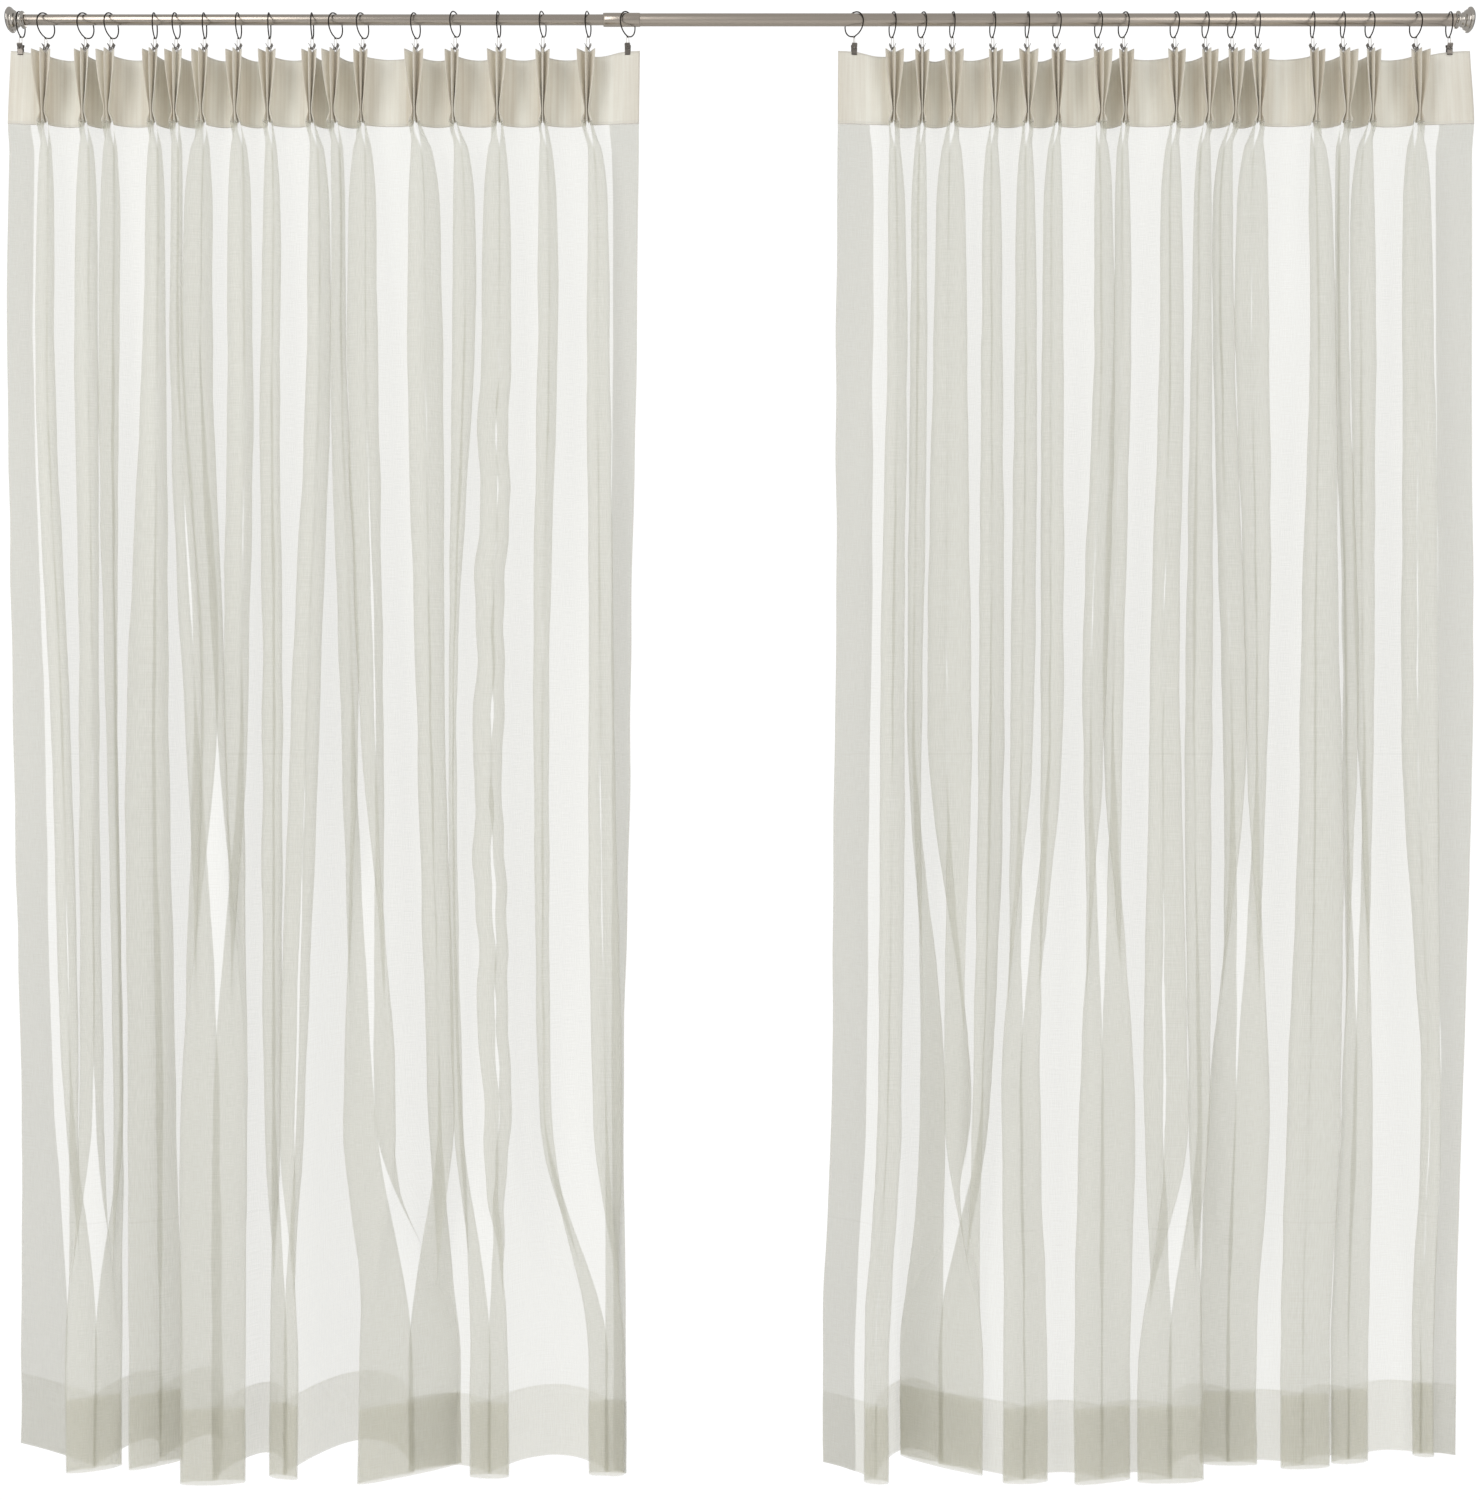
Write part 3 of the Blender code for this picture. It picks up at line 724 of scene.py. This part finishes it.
CLOTH_AT_GUIDE = cloth_widths()
CLOTH_WIDTH = float(CLOTH_AT_GUIDE[-1])
CLOTH_U = np.interp(np.arange((len(CLOTH_AT_GUIDE) - 1) * SAMPLES + 1) / SAMPLES,
                    np.arange(len(CLOTH_AT_GUIDE)), CLOTH_AT_GUIDE)


def waves(seed, along, down, sizes):
    """Sums a few slow sine waves over the cloth."""
    pick = np.random.default_rng(seed)
    total = np.zeros(np.broadcast(along, down).shape)
    for height, across_length, down_length in sizes:
        for _ in range(3):
            turn = pick.uniform(0, 2 * pi, 2)
            stretch = pick.uniform(0.7, 1.4, 2)
            total += height / 3 * np.sin(2 * pi * along / across_length * stretch[0] + turn[0]) \
                * np.sin(2 * pi * down / down_length * stretch[1] + turn[1])
    return total


class Curtain:
    """One curtain's surface, and the pieces cut from it."""

    def __init__(self, side):
        self.side = side
        self.sign = SIDES[side]
        self.heights, self.rows = guide_rows(side)

    def surface(self, heights, behind=0.0):
        """Points (heights, samples, 3), set back along the surface's normal by behind."""
        heights = np.asarray(heights, float)
        guides = eased(self.heights, self.rows, heights)
        drop = np.clip((HEADER_BOTTOM - heights) / (HEADER_BOTTOM - HEM_BOTTOM), 0, 1)[:, None]
        along = CLOTH_AT_GUIDE[None, :]
        down = heights[:, None]
        seed = 11 if self.side == "left" else 23
        loose = np.clip(drop * 6, 0, 1)
        guides[:, :, 0] += loose * waves(seed, along, down, [(0.0022, 0.35, 0.7),
                                                             (0.0012, 0.11, 0.25)])
        guides[:, :, 1] += loose * waves(seed + 1, along, down, [(0.0030, 0.30, 0.6),
                                                                 (0.0012, 0.10, 0.2)])
        if self.side == "left":
            self._wavy_fold(guides, heights)
        curve = smooth_curve(guides, SAMPLES)
        x = ROD_MIDDLE + self.sign * curve[:, :, 0]
        y = curve[:, :, 1]
        z = np.broadcast_to(heights[:, None], x.shape).copy()
        z += self._sag(heights)
        step_x, step_y = np.gradient(x, axis=1), np.gradient(y, axis=1)
        length = np.hypot(step_x, step_y) + 1e-9
        normal = np.stack([-step_y, step_x], -1) / length[:, :, None] * self.sign * -1
        small = waves(seed + 2, CLOTH_U[None, :], down, [(0.0007, 0.05, 0.16),
                                                         (0.0004, 0.022, 0.05)]) * loose
        offset = small + behind
        x = x + normal[:, :, 0] * offset
        y = y + normal[:, :, 1] * offset
        return np.stack([x, y, z], -1)

    def _wavy_fold(self, guides, heights):
        """One fold was creased in its packet and hangs in short waves."""
        start = EDGE_POINTS + WAVY_PLEAT * (PLEAT_POINTS + FLAT_POINTS)
        share = np.clip((-0.45 - heights) / 0.15, 0, 1) * np.clip((heights + 2.1) / 0.3, 0, 1)
        left = 0.0034 * np.sin(heights * 27) + 0.0016 * np.sin(heights * 58 + 1)
        right = 0.0030 * np.sin(heights * 21 + 2) + 0.0014 * np.sin(heights * 71)
        for k in range(PLEAT_POINTS):
            side = k / (PLEAT_POINTS - 1)
            guides[:, start + k, 0] += share * (left * (1 - side) + right * side)

    def _sag(self, heights):
        """The header sags between its clips, and a clip lifts each of its two top corners."""
        top = np.clip((heights - HEADER_BOTTOM) / (HEADER_TOP - HEADER_BOTTOM), 0, 1)
        start, period = OUTER_EDGE_CLOTH + PLEAT_CLOTH / 2, PLEAT_CLOTH + FLAT_CLOTH
        hang = 0.5 - 0.5 * np.cos(2 * pi * (CLOTH_U - start) / period)
        lift = (np.exp(-(CLOTH_U / 0.048) ** 4)
                + np.exp(-((CLOTH_WIDTH - CLOTH_U) / 0.048) ** 4))
        rise = CORNER_LIFT * lift - HEADER_SAG * hang * (1 - lift)
        return top[:, None] * rise[None, :]

    def piece(self, name, heights, material, behind=0.0, columns=slice(None), thick=0.0):
        points = self.surface(heights, behind)[:, columns]
        mesh = grid_mesh(name, points, CLOTH_U[columns], HEADER_TOP - np.asarray(heights))
        piece = add_piece(f"{self.side}_{name}", mesh, material, f"{self.side}_curtain")
        if thick:
            shell = piece.modifiers.new("thickness", "SOLIDIFY")
            shell.thickness = thick
            shell.offset = 0
            apply_modifiers(piece)
        return piece


def apply_modifiers(piece):
    depsgraph = bpy.context.evaluated_depsgraph_get()
    mesh = bpy.data.meshes.new_from_object(piece.evaluated_get(depsgraph))
    piece.modifiers.clear()
    piece.data = mesh


def make_curtain(side, finishes):
    curtain = Curtain(side)
    header_heights = np.concatenate([np.linspace(HEADER_TOP, PINCH, 22),
                                     np.linspace(PINCH, HEADER_BOTTOM, 5)[1:]])
    body_heights = np.concatenate([np.linspace(BODY_TOP, -0.30, 18),
                                   np.linspace(-0.30, HEM_BOTTOM, 112)[1:]])
    hem_heights = np.linspace(HEM_BOTTOM + HEM_DEPTH, HEM_BOTTOM + 0.0006, 10)
    hem_columns = np.searchsorted(CLOTH_U, SIDE_HEM) + 1
    header = curtain.piece("header_cloth", header_heights, finishes["header"], thick=BUCKRAM)
    body = curtain.piece("sheer_cloth", body_heights, finishes["sheer"])
    hem = curtain.piece("bottom_hem", hem_heights, finishes["hem"], behind=2 * LAYER_GAP)
    outer = curtain.piece("outer_side_hem", body_heights, finishes["side_hem"],
                          behind=LAYER_GAP, columns=slice(0, hem_columns))
    inner = curtain.piece("inner_side_hem", body_heights, finishes["side_hem"],
                          behind=LAYER_GAP, columns=slice(len(CLOTH_U) - hem_columns, None))
    pieces = [header, body, hem, outer, inner]
    for piece in pieces:
        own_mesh(piece)
    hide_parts(f"{side}_header_band")
    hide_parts(f"{side}_sheer_panel")


# ---------------------------------------------------------------- rings, links and clips


def ring_wire():
    """A round wire ring with a small dip at the bottom, where its link sits."""
    path = []
    for k in range(72):
        angle = 2 * pi * k / 72
        radius = RING_R + RING_DIP * np.exp(-((angle - pi) / 0.10) ** 2)
        path.append((0, radius * sin(angle), radius * cos(angle)))
    return wire_mesh("ring_wire", path, RING_WIRE_R, closed=True)


def link_wire(top, bottom):
    """A narrow loop of thin wire from the ring's dip to the clip's eye, edge on to the front."""
    half, width = (top - bottom) / 2, 0.0021
    centre = (top + bottom) / 2
    path = []
    for k in range(32):
        angle = 2 * pi * k / 32
        path.append((width * np.sign(cos(angle)) * abs(cos(angle)) ** 0.7, 0.0004 * cos(angle),
                     centre + half * np.sign(sin(angle)) * abs(sin(angle)) ** 0.8))
    return wire_mesh("link_wire", path, LINK_WIRE_R, closed=True, sides=8)


def jaw_mesh(side):
    """One jaw of a clip: a bent strip with a prong to press above its pivot."""
    outline = [(4.9, 0.0), (4.4, -1.4), (2.5, -5.2), (1.7, -6.6), (2.3, -8.0), (2.35, -10.5),
               (2.0, -13.5), (1.55, -15.8), (1.62, -17.0), (2.1, -17.8)]
    bm = bmesh.new()
    steps = 8
    rows = []
    for x, z in outline:
        narrow = 0.0006 if z > -0.6 or z < -17.4 else 0.0
        half = CLIP_WIDTH / 2 - narrow
        rows.append([bm.verts.new((side * x * MM, half * (2 * k / steps - 1), z * MM))
                     for k in range(steps + 1)])
    for row, (upper, lower) in enumerate(zip(rows, rows[1:])):
        for k in range(steps):
            if row in (2, 3) and k in (3, 4):
                continue
            bm.faces.new((upper[k], lower[k], lower[k + 1], upper[k + 1]))
    mesh = bpy.data.meshes.new("jaw")
    bm.to_mesh(mesh)
    bm.free()
    piece = bpy.data.objects.new("jaw", mesh)
    bpy.context.scene.collection.objects.link(piece)
    shell = piece.modifiers.new("thickness", "SOLIDIFY")
    shell.thickness = 0.0007
    shell.offset = 0
    edge = piece.modifiers.new("edge", "BEVEL")
    edge.width = 0.00018
    edge.segments = 2
    apply_modifiers(piece)
    mesh = piece.data
    bpy.data.objects.remove(piece)
    mesh.shade_smooth()
    mesh.set_sharp_from_angle(angle=radians(40))
    return mesh


def spring_wire():
    """The coil on the clip's pivot, along Y, with its two legs."""
    path = [(-0.0030, -0.0022, -0.0030)]
    turns, points = 3.5, 16
    for k in range(int(turns * points) + 1):
        angle = pi / 2 + 2 * pi * k / points
        along = -0.0020 + 0.0040 * k / (turns * points)
        path.append((0.00135 * cos(angle), along, 0.00135 * sin(angle)))
    path.append((0.0030, 0.0022, -0.0030))
    return wire_mesh("spring", path, 0.00032, sides=6)


def clip_mesh(finishes):
    """A sprung clip, edge on: both jaws, the pivot pin and the spring, with its top at Z = 0."""
    parts = []
    for side in (-1, 1):
        jaw = jaw_mesh(side)
        jaw.materials.append(finishes["clip"])
        parts.append((jaw, Matrix.Identity(4)))
    spring = spring_wire()
    spring.materials.append(finishes["link"])
    parts.append((spring, Matrix.Translation((0, 0, -CLIP_PIVOT))))
    pin = wire_mesh("pin", [(0, -CLIP_WIDTH / 2 - 0.0003, 0), (0, 0, 0),
                            (0, CLIP_WIDTH / 2 + 0.0003, 0)], 0.0006, sides=12)
    pin.materials.append(finishes["clip"])
    parts.append((pin, Matrix.Translation((0, 0, -CLIP_PIVOT))))
    mesh = join_meshes("clip", parts)
    mesh.set_sharp_from_angle(angle=radians(40))
    return mesh


def hang_rings(side, finishes, shapes):
    """The rings of one curtain, each with its link and its clip."""
    for number, turn in enumerate(RING_TURNS[side], start=1):
        node = f"{side}_clip_ring_{number:02d}"
        low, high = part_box(node)
        x = (low[0] + high[0]) / 2
        centre = high[2] - RING_R - RING_WIRE_R
        body = f"{side}_curtain" if number == 1 else f"{side}_ring_{number:02d}"
        upright = Matrix.Rotation(radians(turn), 4, "Z")
        ring = add_piece(f"{side}_ring_{number:02d}", shapes["ring"], None, body)
        ring.matrix_world = Matrix.Translation((x, 0, centre)) @ upright
        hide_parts(node)
        bottom = centre - RING_R - RING_DIP
        link_mesh = link_wire(bottom + 0.0021, CLIP_TOP - 0.0068)
        link = add_piece(f"{side}_link_{number:02d}", link_mesh, finishes["link"], body)
        link.matrix_world = Matrix.Translation((x, 0, 0)) @ upright
        facing = pi / 2 if number in (1, CLIPS) else 0
        clip = add_piece(f"{side}_clip_{number:02d}", shapes["clip"], None, body)
        clip.matrix_world = Matrix.Translation((x, 0, CLIP_TOP)) @ Matrix.Rotation(
            facing + radians(turn * 0.15), 4, "Z")


# ---------------------------------------------------------------- rod


def turned_piece(name, outline, finish, body, node):
    piece = add_piece(name, turned_mesh(name, outline), finish, body)
    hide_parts(node)
    return piece


def tube_outline(low, high, radius, bore, edge=0.0003):
    """A tube's wall with eased ends, open for 20 mm at each mouth."""
    near = edge * 0.3
    return [(low + 0.02, bore), (low, bore), (low, radius - edge), (low + near, radius - near),
            (low + edge, radius), (high - edge, radius), (high - near, radius - near),
            (high, radius - edge), (high, bore), (high - 0.02, bore)]


def flange_outline(wall, tube_end, towards):
    """The stepped bell from its wall face to its small disc, as (distance along X, radius)."""
    length = abs(tube_end - wall)
    profile = [
        (0.075, 0.0120), (0.075, 0.0170), (0.085, 0.0184), (0.115, 0.0190), (0.15, 0.0192),
        (0.19, 0.0190), (0.225, 0.0182), (0.245, 0.0172), (0.262, 0.0159), (0.285, 0.0155),
        (0.315, 0.0156), (0.35, 0.0152), (0.40, 0.0143), (0.44, 0.0137), (0.455, 0.0128),
        (0.475, 0.0116), (0.50, 0.0113), (0.54, 0.0113), (0.575, 0.0110), (0.61, 0.0102),
        (0.65, 0.0095), (0.70, 0.0092), (0.745, 0.0095), (0.78, 0.0106), (0.80, 0.0122),
        (0.82, 0.0130), (0.845, 0.0132), (0.875, 0.0132), (0.905, 0.0130), (0.925, 0.0124),
        (0.94, 0.0112), (0.96, 0.0103), (1.0, 0.0101), (1.0, 0.0060),
    ]
    return [(wall + towards * share * length, radius) for share, radius in profile]


def make_rod(finishes):
    outer_low, outer_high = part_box("outer_tube")
    inner_low, inner_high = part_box("inner_tube")
    collar_low, collar_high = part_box("joint_collar")
    outer_r = (outer_high[2] - outer_low[2]) / 2
    inner_r = (inner_high[2] - inner_low[2]) / 2
    collar_r = (collar_high[2] - collar_low[2]) / 2
    turned_piece("outer_tube_skin", tube_outline(outer_low[0], outer_high[0], outer_r,
                                                 outer_r - 0.0006),
                 finishes["tube"], "outer_rod", "outer_tube")
    turned_piece("inner_tube_skin", tube_outline(inner_low[0], inner_high[0], inner_r,
                                                 inner_r - 0.0008),
                 finishes["thin_tube"], "inner_rod", "inner_tube")
    low, high, edge = collar_low[0], collar_high[0], 0.0004
    collar = [(low + 0.006, inner_r + 0.0003), (low, inner_r + 0.0003), (low, collar_r - edge),
              (low + edge, collar_r), (low + 0.0016, collar_r), (low + 0.0020, collar_r - 0.00025),
              (low + 0.0026, collar_r - 0.00025), (low + 0.0030, collar_r),
              (high - edge, collar_r), (high, collar_r - edge), (high, outer_r + 0.0003),
              (high - 0.02, outer_r + 0.0003)]
    turned_piece("joint_collar_skin", collar, finishes["collar"], "outer_rod",
                 "joint_collar")
    left_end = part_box("left_flange")[1][0]
    right_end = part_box("right_flange")[0][0]
    wall_left, wall_right = CAD_BOX[0].x, CAD_BOX[1].x
    turned_piece("left_flange_bell", flange_outline(wall_left, left_end, 1),
                 finishes["flange"], "sliding_end", "left_flange")
    turned_piece("right_flange_bell", flange_outline(wall_right, right_end, -1),
                 finishes["flange"], "outer_rod", "right_flange")
    for side, wall, towards, body in (("left", wall_left, 1, "sliding_end"),
                                      ("right", wall_right, -1, "outer_rod")):
        pad = [(0, 0), (0, 0.0155), (0.0003, 0.0162), (0.0008, 0.0165), (0.0013, 0.0164),
               (0.0016, 0.0160), (0.0016, 0)]
        turned_piece(f"{side}_pad_disc", [(wall + towards * a, r) for a, r in pad],
                     finishes["rubber"], body, f"{side}_pad")


def paint_frame(finishes):
    """Gives the CAD nodes that still show, inside the rod, their finishes."""
    wanted = {"screw": "steel", "tube_plug": "plastic", "lock_plug": "plastic",
              "lock_cam": "plastic"}
    for name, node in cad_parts.items():
        for word, finish in wanted.items():
            if word in name:
                node.data.materials.clear()
                node.data.materials.append(finishes[finish])


# ---------------------------------------------------------------- stage


def area_light(name, place, towards, size, power, colour=(1, 1, 1)):
    light = bpy.data.lights.new(name, "AREA")
    light.shape = "RECTANGLE"
    light.size, light.size_y = size
    light.energy = power
    light.color = colour
    lamp = bpy.data.objects.new(name, light)
    bpy.context.scene.collection.objects.link(lamp)
    lamp.location = place
    lamp.rotation_euler = (Vector(towards) - Vector(place)).to_track_quat("-Z", "Y").to_euler()
    return lamp


def make_stage():
    mesh = bpy.data.meshes.new("floor")
    bm = bmesh.new()
    bmesh.ops.create_grid(bm, x_segments=1, y_segments=1, size=40)
    bm.to_mesh(mesh)
    bm.free()
    floor = bpy.data.objects.new("floor", mesh)
    bpy.context.scene.collection.objects.link(floor)
    floor.location = (ROD_MIDDLE, 0, CAD_BOX[0].z - 0.12)
    pale = Finish("floor_white")
    pale.set(Base_Color=(0.90, 0.90, 0.90, 1), Roughness=0.9)
    glow = pale.node("ShaderNodeEmission", None, (1, 1, 1, 1), SEEN_WHITE)
    shown = pale.node("ShaderNodeMixShader", None, pale.node("ShaderNodeLightPath"),
                      Value(pale, pale.shader.outputs[0]), glow)
    pale.tree.links.new(shown.socket, pale.tree.nodes["Material Output"].inputs[0])
    mesh.materials.append(pale.material)
    world = bpy.data.worlds.new("studio")
    bpy.context.scene.world = world
    world.use_nodes = True
    tree = world.node_tree
    background = tree.nodes["Background"]
    background.inputs["Color"].default_value = (1, 1, 1, 1)
    background.inputs["Strength"].default_value = ROOM_GLOW
    seen = tree.nodes.new("ShaderNodeBackground")
    seen.inputs["Color"].default_value = (1, 1, 1, 1)
    seen.inputs["Strength"].default_value = SEEN_WHITE
    path = tree.nodes.new("ShaderNodeLightPath")
    mix = tree.nodes.new("ShaderNodeMixShader")
    tree.links.new(path.outputs["Is Camera Ray"], mix.inputs[0])
    tree.links.new(background.outputs[0], mix.inputs[1])
    tree.links.new(seen.outputs[0], mix.inputs[2])
    tree.links.new(mix.outputs[0], tree.nodes["World Output"].inputs[0])
    middle = (ROD_MIDDLE, 0, -1.1)
    area_light("window", (ROD_MIDDLE - 2.6, -2.8, 0.4), middle, (1.6, 2.6), 42)
    area_light("fill", (ROD_MIDDLE + 2.4, -3.0, -0.4), middle, (1.6, 2.6), 24)
    area_light("rim", (ROD_MIDDLE + 0.6, 2.6, 0.9), middle, (2.4, 1.2), 12)
    camera = bpy.data.cameras.new("camera")
    camera.lens = camera.sensor_width * CAMERA_AWAY / VIEW_HEIGHT
    eye = bpy.data.objects.new("camera", camera)
    bpy.context.scene.collection.objects.link(eye)
    eye.location = (ROD_MIDDLE, -CAMERA_AWAY, PICTURE_MIDDLE_Z)
    eye.rotation_euler = (pi / 2, 0, 0)
    bpy.context.scene.camera = eye
    bpy.context.scene.view_settings.view_transform = "Standard"


# ---------------------------------------------------------------- put together

nickel = (0.50, 0.445, 0.385)
finishes = {
    "sheer": sheer_cloth("sheer_linen", 0.36, (0.775, 0.768, 0.675)),
    "side_hem": sheer_cloth("side_hem_linen", 0.56, (0.65, 0.64, 0.59)),
    "hem": sheer_cloth("hem_linen", 0.29, (0.80, 0.77, 0.61), doubled=True),
    "header": header_cloth(),
    "tube": brushed_nickel("brushed_nickel", (0.52, 0.46, 0.395), 0.30, (900, 60, 60)),
    "thin_tube": brushed_nickel("pale_brushed_nickel", nickel, 0.27, (900, 60, 60)),
    "collar": brushed_nickel("collar_nickel", (0.52, 0.46, 0.395), 0.26, (900, 60, 60)),
    "flange": brushed_nickel("polished_nickel", (0.56, 0.525, 0.475), 0.16, (60, 400, 400)),
    "ring": brushed_nickel("dark_ring_nickel", (0.035, 0.029, 0.024), 0.38, (200, 200, 200)),
    "clip": brushed_nickel("dark_clip_nickel", (0.20, 0.18, 0.16), 0.34, (300, 300, 900)),
    "link": brushed_nickel("bright_wire", (0.62, 0.59, 0.54), 0.28, (300, 300, 300)),
    "steel": brushed_nickel("zinc_steel", (0.56, 0.56, 0.58), 0.35, (400, 400, 400)),
    "rubber": moulded("grey_rubber", (0.10, 0.10, 0.10), 0.80, 1600, 0.0002),
    "plastic": moulded("white_plastic", (0.80, 0.80, 0.77), 0.45, 1200, 0.0001),
}
shapes = {"ring": ring_wire(), "clip": clip_mesh(finishes)}
shapes["ring"].materials.append(finishes["ring"])

make_stage()
make_rod(finishes)
paint_frame(finishes)
for side in SIDES:
    hang_rings(side, finishes, shapes)
    make_curtain(side, finishes)
